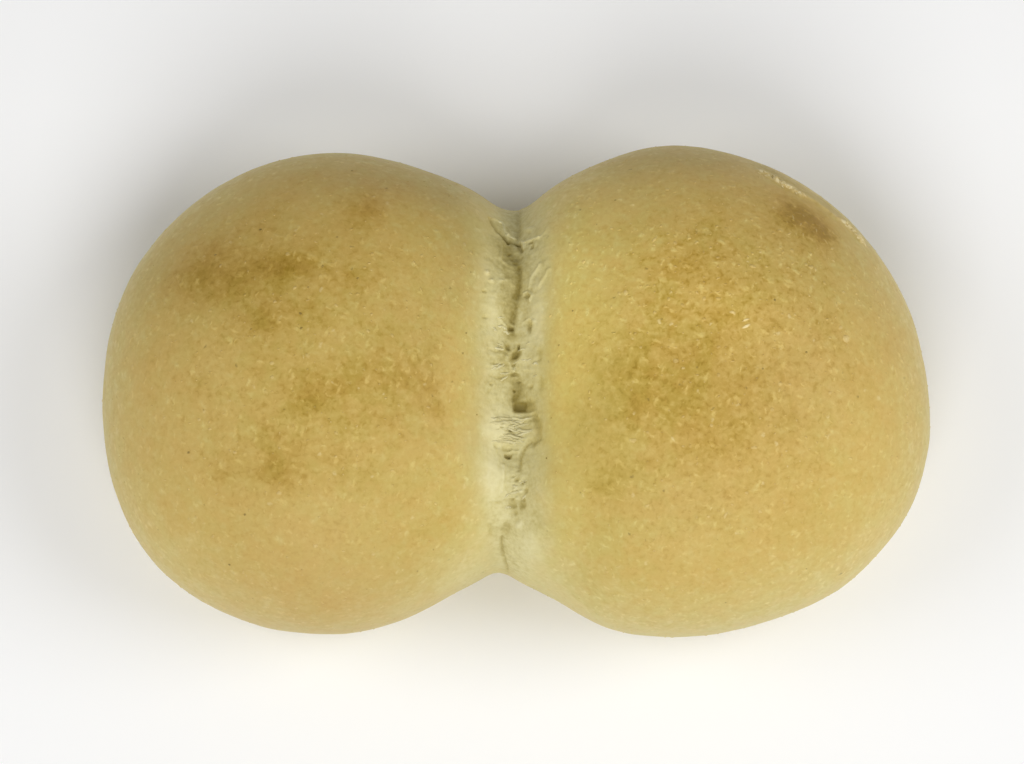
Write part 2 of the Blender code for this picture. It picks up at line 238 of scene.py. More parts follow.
# The one large hole, square and deeper at its west end, in the same terms.
SQUARE_HOLE = ((1.40, -5.6, 1.85, 1.05, 2, 0.50), (0.45, -5.7, 1.00, 0.95, 0, 0.45))
# Soft swells of crumb, in the same terms, with a height.
SWELLS = (
    (-3.4, 12.8, 4.4, 2.3, 86, 0.55),
    (-4.4, -18.0, 4.4, 2.0, 90, 0.50),
    (-3.6, -9.5, 3.0, 2.2, 90, 0.40),
    (-1.3, 23.1, 1.9, 1.5, 70, -0.22),
    (3.5, 11.5, 4.5, 1.3, 90, 0.30),
    (3.6, 0.5, 4.0, 1.2, 90, 0.15),
    (0.6, -26.4, 0.65, 0.60, 0, 0.40),
    (2.3, 27.1, 0.75, 0.50, 0, 0.35),
    (-0.5, 0.95, 0.36, 0.32, 0, 0.45),
    (-5.3, 18.4, 0.40, 0.36, 60, 0.35),
    (-4.6, 16.9, 0.42, 0.36, 0, 0.35),
    (-0.3, -20.4, 0.42, 0.30, 0, 0.35),
    (0.6, -20.8, 0.46, 0.30, 0, 0.35),
    (0.2, -22.0, 0.36, 0.30, 0, 0.30),
    (0.15, -23.4, 0.24, 0.55, 0, 0.18),
    (2.4, -29.5, 3.0, 2.0, 100, 0.30),
)
# Where the crumb is drawn out in strands: X, Y, half length, half width, turn, height.
STRAND_FIELDS = (
    (-1.2, -9.8, 3.4, 2.7, 0, 0.12),
    (-3.6, 0.5, 2.9, 5.5, 0, 0.10),
    (2.4, 2.0, 1.8, 3.4, 0, 0.11),
    (0.3, -21.5, 2.3, 4.2, 0, 0.14),
    (-3.6, 12.0, 2.6, 4.0, 0, 0.03),
)
STRAND_GRAIN = ((3.0, 0.55, 3.0), 11.0)  # size and turn of the drawn-out strands
# The crumb's own roughness everywhere in the seam: height, size and turn.
CRUMB_GRAINS = (
    (0.03, (1.6, 0.6, 1.4), 4.0),
    (0.10, (1.6, 1.2, 1.2), 2.0),
    (0.05, (0.8, 0.7, 0.7), 9.0),
)


def line_at(line, where):
    """The second number of a line's pairs, read off at each of these first numbers."""
    return np.interp(where, [point[0] for point in line], [point[1] for point in line])


def inside_seam(x, y):
    """How far each place lies inside the seam's two marked edges, in millimetres."""
    return np.minimum(x - line_at(SEAM_LEFT, y), line_at(SEAM_RIGHT, y) - x)


def inside_torn_seam(x, y, z):
    """The same with the edges ragged, as they tore."""
    rags = uneven(np.c_[x, y, z], SEAM_RAGS, 3.7)
    return inside_seam(x, y) + rags * SEAM_RAGGEDNESS


def run_distance(x, y, points):
    """How far each place is from a run of straight stretches."""
    nearest = np.full(len(x), 1e9)
    for (ax, ay), (bx, by) in zip(points, points[1:]):
        length = (bx - ax) ** 2 + (by - ay) ** 2
        share = np.clip(((x - ax) * (bx - ax) + (y - ay) * (by - ay)) / length, 0, 1)
        nearest = np.minimum(
            nearest, np.hypot(x - ax - share * (bx - ax), y - ay - share * (by - ay))
        )
    return nearest


def oval(x, y, spot, power=2.0, corners=2.0):
    """1 in the middle of a turned oval, falling to about a third at its edge."""
    cx, cy, long, wide, turn, _ = spot
    way = math.radians(turn)
    along = (x - cx) * math.cos(way) + (y - cy) * math.sin(way)
    across = (y - cy) * math.cos(way) - (x - cx) * math.sin(way)
    reach = abs(along / long) ** corners + abs(across / wide) ** corners
    return np.exp(-(reach ** (power / corners)))


def subdivide_where(piece, wanted, cuts, rounds):
    """Splits the faces whose corners are all wanted into smaller ones, and rounds them."""
    alone(piece)
    corners = np.empty(len(piece.data.loops), np.int32)
    piece.data.loops.foreach_get("vertex_index", corners)
    starts = np.empty(len(piece.data.polygons), np.int32)
    piece.data.polygons.foreach_get("loop_start", starts)
    inside = np.minimum.reduceat(wanted[corners].astype(np.int8), starts).astype(bool)
    bpy.ops.object.mode_set(mode="EDIT")
    bpy.ops.mesh.select_mode(type="FACE")
    bpy.ops.mesh.select_all(action="DESELECT")
    bpy.ops.object.mode_set(mode="OBJECT")
    piece.data.polygons.foreach_set("select", inside)
    bpy.ops.object.mode_set(mode="EDIT")
    bpy.ops.mesh.subdivide(number_cuts=cuts, smoothness=0)
    bpy.ops.mesh.vertices_smooth(factor=0.5, repeat=rounds)
    bpy.ops.object.mode_set(mode="OBJECT")


x, y, z = places(bread_crust).T
upward = outward(bread_crust)[:, 2]
in_seam = (inside_seam(x, y) > -SEAM_MARGIN) & (z > NET_FROM) & (upward > NET_LEAN)
subdivide_where(bread_crust, in_seam, NET_CUTS, NET_EASING)

skin = places(bread_crust)
facing = outward(bread_crust)
x, y, z = skin.T
torn = 1 / (1 + np.exp(-inside_torn_seam(x, y, z) / (0.45 * SEAM_SOFTNESS)))
torn *= fade_in(z, *SEAM_ENDS) * (facing[:, 2] > -0.2)
strip = inside_seam(x, y) + SEAM_MARGIN
fine = np.flatnonzero((strip > RELIEF_FROM[0]) & (z > NET_FROM) & (facing[:, 2] > NET_LEAN))
nx, ny = x[fine], y[fine]
# The runs and pores wander a little, as torn crumb does.
wx = nx + uneven(skin[fine], (1.1, 1.1, 1.1), 8.1) * WANDER
wy = ny + uneven(skin[fine], (1.3, 1.3, 1.3), 5.3) * WANDER
relief = np.zeros(len(fine))
for depth, half_width, points in FURROWS:
    relief -= depth * np.exp(-((run_distance(wx, wy, points) / half_width) ** 2))
for height, half_width, points in FOLDS:
    relief += height * np.exp(-((run_distance(wx, wy, points) / half_width) ** 2))
for swell in SWELLS:
    relief += swell[-1] * oval(wx, wy, swell, 3)
for pore in PORES:
    relief -= pore[-1] * oval(wx, wy, pore, 3, 2.4)
for pore in SQUARE_HOLE:
    relief -= pore[-1] * oval(wx, wy, pore, 6, 4)
relief *= fade_in(strip[fine], *RELIEF_FROM)
fibre = sum(rise * uneven(skin[fine], size, turn) for rise, size, turn in CRUMB_GRAINS)
strands = uneven(skin[fine], *STRAND_GRAIN)
for field in STRAND_FIELDS:
    fibre += field[-1] * strands * oval(nx, ny, field, 4)
relief += fibre * torn[fine]
skin[fine] += facing[fine] * relief[:, None]
reshape(bread_crust, skin)

# ------------------------------------------------------------------- the crust's torn lip
# Along the right bun's far shoulder the skin caught on its neighbour in the tray and tore:
# a thin ragged lip stands up there, with a smooth stretched strip outside it.
LIP_LINE = (
    (43.4, 38.3), (45.3, 37.4), (46.7, 36.2), (49.2, 34.8), (51.4, 33.6), (53.9, 32.5),
    (56.2, 30.7), (57.5, 29.8), (59.7, 28.4), (61.2, 26.9), (63.2, 24.7),
)
# How torn it is: X, and the share of its height. In the middle it is a thin line.
LIP_TORN = (
    (42.0, 0.0), (43.2, 0.35), (44.6, 1.0), (50.4, 1.0), (51.8, 0.4), (58.0, 0.35),
    (59.2, 1.0), (62.0, 0.9), (63.6, 0.0),
)
LIP_HEIGHT = 0.65
LIP_HALF_WIDTH = (0.20, 0.38)  # in the middle, and where it is most torn
LIP_STRIP = 1.7  # width of the stretched strip outside it
LIP_STEP = 0.3  # how far the strip lies below the crust
LIP_REACH = 2.9  # half width of its fine net
LIP_LEAN = 0.05  # as for the seam's net
LIP_CUTS = 4
LIP_EASING = 12
LIP_STARTS = (41.5, 3.5)  # the X where it starts, and how far along it takes to grow
LIP_ENDS = (-64.5, 2.5)  # the same at its other end, counted the other way
LIP_TATTER = (1.0, 1.0, 1.0)  # size of the tatters along it
# How much darker the strip beyond the lip is painted: painted shade.
LIP_STRIP_SHADE = 0.12

skin = places(bread_crust)
facing = outward(bread_crust)
lip_gap = run_distance(skin[:, 0], skin[:, 1], LIP_LINE)
lip_near = (lip_gap < LIP_REACH) & (facing[:, 2] > LIP_LEAN)
subdivide_where(bread_crust, lip_near, LIP_CUTS, LIP_EASING)
skin = places(bread_crust)
facing = outward(bread_crust)
lip_gap = run_distance(skin[:, 0], skin[:, 1], LIP_LINE)
fine_lip = np.flatnonzero((lip_gap < LIP_REACH) & (facing[:, 2] > LIP_LEAN))
lx, ly, _ = skin[fine_lip].T
lip_wander = uneven(skin[fine_lip], LIP_TATTER, 6.0) * 0.3
gap = run_distance(lx + lip_wander, ly + lip_wander, LIP_LINE)
outside = np.clip((ly - line_at(LIP_LINE, lx)) * 3, -1, 1) * 0.5 + 0.5
tatter = np.clip(0.9 + 0.8 * uneven(skin[fine_lip], LIP_TATTER, 1.0), 0.35, 1.4)
lip_fade = fade_in(lx, *LIP_STARTS) * fade_in(-lx, *LIP_ENDS)
torn_share = line_at(LIP_TORN, lx)
lip_half_width = LIP_HALF_WIDTH[0] + (LIP_HALF_WIDTH[1] - LIP_HALF_WIDTH[0]) * torn_share
# The lip itself, the step down to the strip, and a shallow dip on its inner side.
rise = LIP_HEIGHT * tatter * (0.25 + 0.75 * torn_share) * np.exp(-((gap / lip_half_width) ** 2))
rise -= LIP_STEP * outside * np.exp(-((gap / LIP_STRIP) ** 4))
rise -= 0.5 * LIP_STEP * (1 - outside) * torn_share * np.exp(-(((gap - 0.8) / 0.4) ** 2))
skin[fine_lip] += facing[fine_lip] * (rise * lip_fade)[:, None]
reshape(bread_crust, skin)

# ---------------------------------------------------------------------- the crust's finish
# Light and shade are painted into the colour as well: on the tiny wrinkles, lumps and pits, in
# the seam's hollows, on the lip and on some wider patches of skin.
# A thin matt skin, baked golden on the crowns, pale at the sides and beside the seam, with
# soft brown patches where the oven was hottest, tiny wrinkles, pale flecks and dark pits.
# Browned patches: X, Y, half length, half width, turn, and how much darker they are.
BROWNED = (
    (-49.0, 17.0, 12.0, 6.5, 5, 0.34),
    (-53.5, 17.0, 6.0, 3.0, 10, 0.14),
    (-54.0, 23.0, 3.0, 2.6, 0, 0.16),
    (-44.8, 28.6, 5.5, 4.5, 20, 0.24),
    (-41.0, 18.4, 4.4, 2.3, -5, 0.42),
    (-29.4, 15.2, 3.4, 2.4, -10, 0.26),
    (-27.0, 29.6, 4.6, 3.4, 40, 0.56),
    (-45.3, 8.4, 4.2, 2.8, 20, 0.26),
    (-36.4, -6.0, 2.8, 2.0, 15, 0.40),
    (-31.5, -3.5, 6.0, 2.0, 30, 0.07),
    (-23.5, -3.4, 11.0, 6.5, 10, 0.13),
    (-13.5, -7.4, 3.0, 4.2, 10, 0.22),
    (-17.9, -1.4, 3.0, 3.0, 0, 0.14),
    (-56.9, -3.7, 2.8, 2.4, 0, 0.24),
    (-65.1, 0.7, 2.0, 3.4, 0, 0.14),
    (-42.0, -17.2, 4.6, 4.2, 0, 0.35),
    (-52.5, -17.5, 6.0, 3.4, 0, 0.16),
    (-12.3, -26.5, 3.0, 2.6, 0, 0.20),
    (-17.0, -28.9, 2.6, 2.0, 0, 0.14),
    (-35.0, -41.0, 6.0, 3.4, 0, 0.16),
    (-19.8, 31.5, 5.0, 4.0, 0, 0.14),
    (-37.8, 36.1, 3.4, 2.4, 0, 0.12),
    (-32.0, 4.5, 6.5, 3.4, 30, -0.20),
    (-21.4, 13.9, 8.0, 4.0, 30, -0.14),
    (-24.7, 4.8, 4.0, 3.0, 0, -0.10),
    (51.9, 28.1, 6.4, 4.3, -34, 0.80),
    (53.2, 27.9, 3.6, 1.8, -38, 0.26),
    (55.0, 24.6, 3.0, 2.2, -55, 0.30),
    (47.8, 29.0, 3.4, 3.0, -20, 0.22),
    (46.5, 32.5, 7.0, 3.0, -20, 0.16),
    (-58.8, 16.5, 3.6, 3.4, 0, 0.20),
    (-56.6, 21.4, 5.0, 4.4, 0, 0.21),
    (-62.5, 14.0, 3.0, 3.0, 0, 0.12),
    (-15.6, -3.2, 2.4, 2.6, 0, 0.16),
    (29.9, 18.0, 4.0, 2.6, 10, 0.30),
    (34.5, 26.7, 5.0, 4.0, 0, 0.12),
    (27.5, -6.5, 19.0, 8.5, 0, 0.14),
    (20.4, -6.2, 3.2, 2.4, 0, 0.20),
    (32.8, 1.6, 2.6, 2.0, 0, 0.20),
    (22.7, -1.3, 6.0, 1.3, 0, 0.10),
    (15.2, -19.9, 3.6, 3.2, 0, 0.32),
    (33.5, -13.3, 5.0, 4.0, 0, 0.10),
    (18.0, -0.6, 2.6, 2.4, 0, 0.12),
    (15.1, 6.7, 4.0, 4.0, 0, -0.08),
    (54.7, 6.5, 3.0, 3.6, 0, 0.15),
    (65.8, 5.9, 2.2, 2.6, 0, 0.18),
    (60.1, -1.7, 3.6, 2.6, 0, 0.14),
    (26.4, -36.8, 6.0, 3.4, 0, 0.12),
    (46.7, -25.8, 5.4, 3.4, 0, 0.10),
    (15.0, 18.6, 9.0, 8.0, 0, -0.20),
    (22.1, 31.0, 9.0, 6.0, 0, -0.10),
)
PATCH_FOOT = (6.0, 12.0)  # the height where patches start, and how far up they take
BAKED_FROM = 22.0  # height in mm where the colour starts
BAKED_FULL = 49.0
BAKED_RANGE = (-0.2, 1.8)
TRAY_HEIGHT = 3.0  # the tray browns the skin below this height
TRAY_BROWN = 0.75  # how baked the base is
TRAY_BROWN_FADE = 0.3  # how much less each millimetre up
SEAM_PALE = 0.42  # how much paler the crust is right beside the seam
SEAM_PALE_WIDTH = 4.6
SEAM_PALE_FOOT = (8.0, 10.0)  # as for the patches
# Skin lighter or darker: partly drier, fairer skin and some that is duller, partly painted
# light on the right bun's crown and beside the seam and painted shade along the far rims.
# Places as above, and the share of light.
FAIR_SKIN_AND_PAINTED_LIGHT = (
    (21.0, 17.0, 22.0, 15.0, 0, 0.18),
    (9.0, 20.0, 7.0, 15.0, 0, 0.12),
    (9.5, 0.0, 6.0, 14.0, 0, 0.16),
    (16.0, 0.0, 9.0, 9.0, 0, 0.06),
    (-12.0, 33.0, 6.0, 5.0, 0, -0.10),
    (0.0, -46.0, 70.0, 9.0, 0, -0.04),
    (42.0, 8.0, 10.0, 7.0, 0, 0.07),
    (35.0, -14.0, 24.0, 14.0, 0, 0.05),
    (62.0, -8.0, 9.0, 22.0, 0, 0.07),
    (32.0, 40.0, 18.0, 4.5, 0, -0.17),
    (15.0, 8.0, 8.0, 4.0, 0, 0.07),
    (36.0, 11.0, 8.0, 4.0, 0, 0.05),
    (14.0, 32.0, 6.0, 6.0, 0, 0.05),
    (-34.0, -38.0, 26.0, 12.0, 0, -0.11),
    (-50.0, -20.0, 10.0, 14.0, 0, -0.05),
    (-54.0, 18.0, 18.0, 11.0, 0, -0.09),
    (-24.0, 37.0, 18.0, 6.0, 0, -0.18),
    (-10.0, -2.0, 4.0, 20.0, 0, 0.07),
    (-9.0, 22.5, 5.0, 7.0, 0, -0.14),
    (33.0, -23.0, 8.0, 7.0, 0, -0.03),
    (7.6, -5.0, 2.8, 14.0, 0, 0.11),
    (6.4, -11.5, 1.8, 3.0, 0, 0.07),
    (-11.0, 14.0, 4.0, 4.5, 0, -0.08),
    (4.8, -27.0, 3.0, 3.0, 0, -0.07),
    (70.0, 2.0, 8.0, 16.0, 0, 0.04),
)
# Where the gold is warmer, or with a minus sign more olive.
WARM = (
    (-66.0, -6.0, 9.0, 26.0, 0, 0.16),
    (-46.0, -30.0, 22.0, 9.0, -25, 0.12),
    (-34.0, 30.0, 26.0, 12.0, 0, 0.10),
    (-56.0, 23.5, 8.0, 6.0, 0, 0.10),
    (68.0, 4.0, 9.0, 28.0, 0, 0.16),
    (46.0, 33.0, 18.0, 9.0, -30, 0.10),
    (44.0, -34.0, 26.0, 8.0, 15, 0.10),
    (12.0, -6.0, 9.0, 20.0, 0, -0.20),
    (10.0, 18.0, 6.0, 9.0, 0, -0.08),
    (-38.0, -40.0, 26.0, 8.0, 0, 0.22),
    (-30.0, 37.0, 22.0, 7.0, 0, 0.12),
    (27.0, 38.0, 22.0, 8.0, 0, 0.16),
    (47.0, 2.0, 10.0, 9.0, 0, 0.14),
    (43.0, -18.0, 9.0, 9.0, 0, 0.10),
    (33.5, -13.3, 5.0, 4.0, 0, 0.06),
)
# Where the skin is most flaked and crinkled.
FLAKY = (
    (33.0, 14.0, 26.0, 18.0, 0, 0.70),
    (46.0, 18.0, 14.0, 12.0, 0, 0.20),
    (40.0, -8.0, 34.0, 16.0, 0, 0.22),
    (37.0, -27.0, 28.0, 14.0, 0, 0.22),
    (-36.0, 8.0, 30.0, 22.0, 0, 0.30),
    (-42.0, -14.0, 26.0, 14.0, 0, 0.12),
)
FLAKY_AT_LEAST = 0.25
# Where the crumb is lighter, or with a minus sign duller: partly its own tone, partly painted
# shade in its creases and hollows and painted light on some banks.
CRUMB_TONE_AND_PAINTED_SHADE = (
    (-3.2, -10.5, 3.4, 4.5, 0, 0.36),
    (-3.8, -17.5, 2.6, 5.0, 0, 0.14),
    (3.8, -12.0, 2.4, 5.0, 0, 0.25),
    (4.6, 9.0, 1.8, 7.0, 0, 0.30),
    (-5.6, 18.6, 0.9, 1.8, 20, 0.45),
    (0.6, -26.4, 0.6, 0.5, 0, 0.30),
    (0.3, 18.6, 1.4, 3.0, -4, -0.24),
    (-0.1, 14.0, 1.0, 3.4, -8, 0.02),
    (-0.6, 10.6, 0.7, 2.2, -8, -0.08),
    (-1.5, 13.6, 1.5, 4.2, 0, -0.14),
    (1.8, 13.8, 1.4, 3.4, 0, -0.32),
    (-2.1, 13.0, 1.1, 4.4, 0, -0.26),
    (-1.8, 20.6, 2.2, 2.8, 0, -0.24),
    (-1.5, 23.2, 1.5, 1.6, 0, -0.12),
    (-3.4, 24.0, 1.9, 2.4, 20, -0.42),
    (-5.0, 28.4, 1.3, 1.7, 0, -0.32),
    (-3.8, 14.4, 1.8, 2.8, 0, -0.26),
    (-2.8, 13.6, 1.7, 3.2, 0, -0.34),
    (-2.6, 11.0, 1.1, 1.8, 0, -0.22),
    (-5.3, 0.3, 0.9, 1.4, 0, 0.25),
    (3.2, 0.3, 0.7, 1.2, 0, 0.22),
    (2.4, -3.4, 1.1, 1.2, 0, -0.22),
    (-0.8, 7.0, 1.2, 1.0, 0, -0.62),
    (-2.7, 2.6, 1.3, 1.0, 0, -0.22),
    (-1.0, 0.3, 1.2, 1.1, 0, -0.24),
    (-4.7, -1.6, 1.0, 0.8, 0, -0.28),
    (4.9, -1.4, 0.8, 0.9, 0, -0.24),
    (-1.9, 4.2, 1.2, 1.9, 0, -0.30),
    (-1.9, 0.2, 1.4, 2.0, 0, -0.28),
    (3.9, 6.4, 1.3, 1.2, 0, 0.38),
    (-2.9, 27.6, 0.7, 1.6, 35, -0.15),
    (-0.6, 28.8, 1.2, 2.6, 0, -0.14),
    (-0.3, 4.0, 1.2, 1.6, 0, -0.22),
    (-0.4, 1.4, 1.2, 1.4, 0, -0.08),
    (0.3, -3.0, 1.2, 2.0, 0, -0.56),
    (1.0, -5.6, 1.5, 0.9, 0, -0.25),
    (3.6, -9.8, 0.8, 2.6, 0, -0.34),
    (1.9, -8.8, 1.5, 1.6, 0, -0.28),
    (0.2, -23.1, 1.7, 0.9, 0, -0.30),
    (-1.8, -27.0, 1.0, 0.9, 0, -0.20),
    (-4.5, -27.0, 0.9, 1.1, 0, -0.14),
    (3.8, -27.0, 2.0, 2.4, 0, -0.34),
    (4.1, 3.2, 0.7, 1.3, 0, -0.40),
    (4.4, -1.8, 0.5, 1.6, 0, -0.40),
    (-5.6, -9.7, 1.2, 2.4, 0, 0.25),
)
# Where the skin beside the seam is so thin that it is nearly as pale as crumb.
THIN_SKIN = (
    (-7.5, -35.5, 4.5, 4.0, -25, 0.60),
    (4.5, -36.5, 5.0, 3.5, 20, 0.40),
    (-8.4, -13.0, 1.6, 3.6, 0, 0.30),
)


def patches_at(patches, x, y, z):
    """All these patches together at each place, fading out towards the foot."""
    return sum(patch[-1] * oval(x, y, patch) for patch in patches) * fade_in(z, *PATCH_FOOT)


def crumb_at(x, y, z):
    """1 on torn crumb, 0 on crust, with a ragged soft border."""
    border = np.exp(-inside_torn_seam(x, y, z) / SEAM_SOFTNESS)
    return fade_in(z, *SEAM_ENDS) / (1 + border)


def baked_at(x, y, z):
    """How far the crust is baked: 0 at the pale sides, 1 on the crowns, more in patches."""
    share = (z - BAKED_FROM) / (BAKED_FULL - BAKED_FROM)
    beside_seam = np.exp(-np.maximum(-inside_seam(x, y), 0) / SEAM_PALE_WIDTH)
    share -= SEAM_PALE * beside_seam * fade_in(z, *SEAM_PALE_FOOT)
    share += patches_at(BROWNED, x, y, z)
    from_tray = np.maximum(share, TRAY_BROWN - z * TRAY_BROWN_FADE)
    return np.clip(np.where(z < TRAY_HEIGHT, from_tray, share), *BAKED_RANGE)


class Shade:
    """One socket of a finish. Arithmetic on it adds the nodes that work it out."""

    def __init__(self, tree, socket=None):
        self.tree = tree
        self.socket = socket

    def node(self, kind, settings, sockets, output=0):
        """Any node: its settings first, then the values or links of its sockets."""
        made = self.tree.nodes.new(kind)
        for name, value in settings.items():
            if name == "stops":
                ramp = made.color_ramp
                while len(ramp.elements) < len(value):
                    ramp.elements.new(0.5)
                for element, (place, colour) in zip(ramp.elements, value):
                    element.position = place
                    element.color = (*colour, 1)
            else:
                setattr(made, name, value)
        for name, value in sockets.items():
            if isinstance(value, Shade):
                self.tree.links.new(value.socket, made.inputs[name])
            else:
                made.inputs[name].default_value = value
        return Shade(self.tree, made.outputs[output])

    def maths(self, operation, *values):
        return self.node("ShaderNodeMath", {"operation": operation}, dict(enumerate(values)))

    def __add__(self, other):
        return self.maths("ADD", self, other)

    def __sub__(self, other):
        return self.maths("SUBTRACT", self, other)

    def __rsub__(self, other):
        return self.maths("SUBTRACT", other, self)

    def __mul__(self, other):
        return self.maths("MULTIPLY", self, other)

    def __truediv__(self, other):
        return self.maths("DIVIDE", self, other)

    __radd__ = __add__
    __rmul__ = __mul__

    def step(self, low, high):
        """0 below low, 1 above high, and smooth between them."""
        return self.node(
            "ShaderNodeMapRange",
            {"interpolation_type": "SMOOTHSTEP"},
            {"Value": self, "From Min": low, "From Max": high},
        )

    def tint(self, colour, share):
        """This colour with a share of another mixed in."""
        return self.node(
            "ShaderNodeMix", {"data_type": "RGBA"}, {"Factor": share, 6: self, 7: colour}, 2
        )

    def feed(self, shader, name):
        self.tree.links.new(self.socket, shader.inputs[name])


def new_finish(name, roughness, specular):
    """A fresh material, its shader, and the start of its nodes."""
    finish = bpy.data.materials.new(name)
    finish.use_nodes = True
    shader = finish.node_tree.nodes["Principled BSDF"]
    shader.inputs["Roughness"].default_value = roughness
    shader.inputs["Specular IOR Level"].default_value = specular
    return finish, shader, Shade(finish.node_tree)


def paint(piece, name, values):
    """Stores one number for each vertex, for the finish to read."""
    layer = piece.data.attributes.new(name, "FLOAT", "POINT")
    layer.data.foreach_set("value", values.astype(np.float32))


def flaky_at(x, y, z):
    """How flaked and crinkled the skin is at each place."""
    return FLAKY_AT_LEAST + patches_at(FLAKY, x, y, z)


UPPER_SKIN = 20.0  # height of the lowest skin that counts as near the lip
FAR_OFF = 99.0
SMOOTH_STARTS = (41.0, 4.0)  # the smooth skin along the lip, in the lip's terms
SMOOTH_ENDS = (-66.0, 4.0)
SMOOTH_FOOT = (UPPER_SKIN, 5.0)
SMOOTH_WIDTH = 3.6
x, y, z = places(bread_crust).T
# The crumb's relief heights, kept for its colour: its hollows are painted darker as painted
# shade and its ridges lighter as painted light.
hollow = np.zeros(len(x))
hollow[fine] = relief
raised = np.clip(hollow * 2.2 - 0.15, 0, 0.85)
hollow += patches_at(CRUMB_TONE_AND_PAINTED_SHADE, x, y, z)
# Torn edges outside the seam are crumb too, and the thinnest skin looks nearly like it.
bare_crumb = np.maximum(crumb_at(x, y, z), raised)
bare_crumb = np.maximum(bare_crumb, patches_at(THIN_SKIN, x, y, z))
paint(bread_crust, "baked", baked_at(x, y, z))
# The stretched strip beyond the lip is painted darker: painted shade.
lip_gap = run_distance(x, y, LIP_LINE) + (z < UPPER_SKIN) * FAR_OFF
by_lip = fade_in(x, *SMOOTH_STARTS) * fade_in(-x, *SMOOTH_ENDS) * fade_in(z, *SMOOTH_FOOT)
shaded_strip_beyond_lip = np.exp(-(((lip_gap - 1.0) / 1.1) ** 4)) * (y > line_at(LIP_LINE, x)) * by_lip
paint(bread_crust, "fair", patches_at(FAIR_SKIN_AND_PAINTED_LIGHT, x, y, z) - shaded_strip_beyond_lip * LIP_STRIP_SHADE)
paint(bread_crust, "warm", patches_at(WARM, x, y, z))
# The lip's torn edge is painted pale: torn crumb, and where palest a painted highlight where it
# catches the light.
lip_torn = line_at(LIP_TORN, x)
lip_pale = np.clip(lip_torn * 1.4, 0, 1)
lip_pale *= np.clip(0.95 + 0.8 * uneven(np.c_[x, y, z], (0.9, 0.9, 0.9), 1.0), 0.1, 1)
paint(bread_crust, "pale", lip_pale * np.exp(-((lip_gap / (0.26 + 0.36 * lip_torn)) ** 2)))
smooth_beside_lip = np.exp(-((lip_gap / SMOOTH_WIDTH) ** 4)) * by_lip
paint(bread_crust, "flaky", flaky_at(x, y, z) * (1 - smooth_beside_lip))
paint(bread_crust, "crumb", bare_crumb)
paint(bread_crust, "hollow", hollow)

# The skin from pale to dark, each colour with its share of the darkest bake.
SKIN_COLOURS = (
    (0.0, (0.650, 0.552, 0.226)),
    (0.125, (0.620, 0.512, 0.183)),
    (0.31, (0.585, 0.455, 0.138)),
    (0.49, (0.565, 0.410, 0.109)),
    (0.625, (0.530, 0.368, 0.085)),
    (0.81, (0.440, 0.284, 0.041)),
    (1.0, (0.320, 0.192, 0.011)),
)
DARKEST = 1.6
# The crumb from the bottoms of its pores to its raised threads: the darkest is painted shade in
# the pores, the palest partly painted light on the threads.
CRUMB_COLOURS = (
    (0.0, (0.290, 0.226, 0.052)),
    (0.35, (0.510, 0.436, 0.174)),
    (0.6, (0.650, 0.585, 0.290)),
    (1.0, (0.760, 0.700, 0.400)),
)
WARM_GOLD = (0.66, 0.38, 0.12, 1)
OLIVE_GOLD = (0.47, 0.43, 0.09, 1)
FLECK_CREAM = (0.76, 0.62, 0.29, 1)
# The dark brown of the painted shade in pits, and of the toasted flour specks.
PIT_SHADE_AND_SPECK_BROWN = (0.20, 0.14, 0.03, 1)
FLAKE_CREAM = (0.74, 0.57, 0.24, 1)
# The palest cream, for the palest flakes and the lip's torn edge, where it is partly a painted
# highlight.
BRIGHT_CREAM_AND_HIGHLIGHT = (0.95, 0.83, 0.49, 1)  # the palest flakes and the lip's torn edge

crust_finish, shader, start = new_finish("golden_crust", 0.5, 0.3)
spot = start.node("ShaderNodeTexCoord", {}, {}, 3)
place = start.node("ShaderNodeVectorMath", {"operation": "SCALE"}, {0: spot, "Scale": 1 / MM})
# Places pushed about a little, so that round specks come out ragged.
push = start.node("ShaderNodeTexNoise", {}, {"Vector": place, "Scale": 1.1, "Detail": 2.0}, 1)
push = start.node(
    "ShaderNodeVectorMath", {"operation": "SUBTRACT"}, {0: push, 1: (0.5, 0.5, 0.5)}
)
push = start.node("ShaderNodeVectorMath", {"operation": "SCALE"}, {0: push, "Scale": 1.3})
torn_place = start.node("ShaderNodeVectorMath", {"operation": "ADD"}, {0: place, 1: push})


def cloud(size, detail=2.0, twist=0.0):
    """Noise from 0 to 1 with lumps of this size in millimetres."""
    return start.node(
        "ShaderNodeTexNoise",
        {},
        {"Vector": place, "Scale": 1 / size, "Detail": detail, "Distortion": twist},
    )


def attribute(name):
    return start.node("ShaderNodeAttribute", {"attribute_name": name}, {}, 2)


def specks(gap, reach, share, drawn=1.0, turn=0.0):
    """Ragged specks, this far apart and across in mm, in this share of their places, and
    drawn out to streaks where drawn is less than 1."""
    spread = torn_place
    if drawn < 1:
        turned = {"Vector": torn_place, "Angle": math.radians(turn)}
        spread = start.node("ShaderNodeVectorRotate", {"rotation_type": "Z_AXIS"}, turned)
        scale = {0: spread, 1: (drawn, 1, 1)}
        spread = start.node("ShaderNodeVectorMath", {"operation": "MULTIPLY"}, scale)
    middle = start.node("ShaderNodeTexVoronoi", {}, {"Vector": spread, "Scale": 1 / gap})
    shade = Shade(start.tree, middle.socket.node.outputs["Color"])
    chosen = start.node("ShaderNodeSeparateColor", {}, {"Color": shade})
    size = chosen.step(1 - share, 1.0) * (reach / gap)
    return 1 - (middle / (size + 0.0001)).step(0.2, 1.0)


depth_of_bake = attribute("baked")
fair = attribute("fair")
flaky = attribute("flaky")
torn_crumb = attribute("crumb")
relief_shade = attribute("hollow")
pale_flake = attribute("pale")

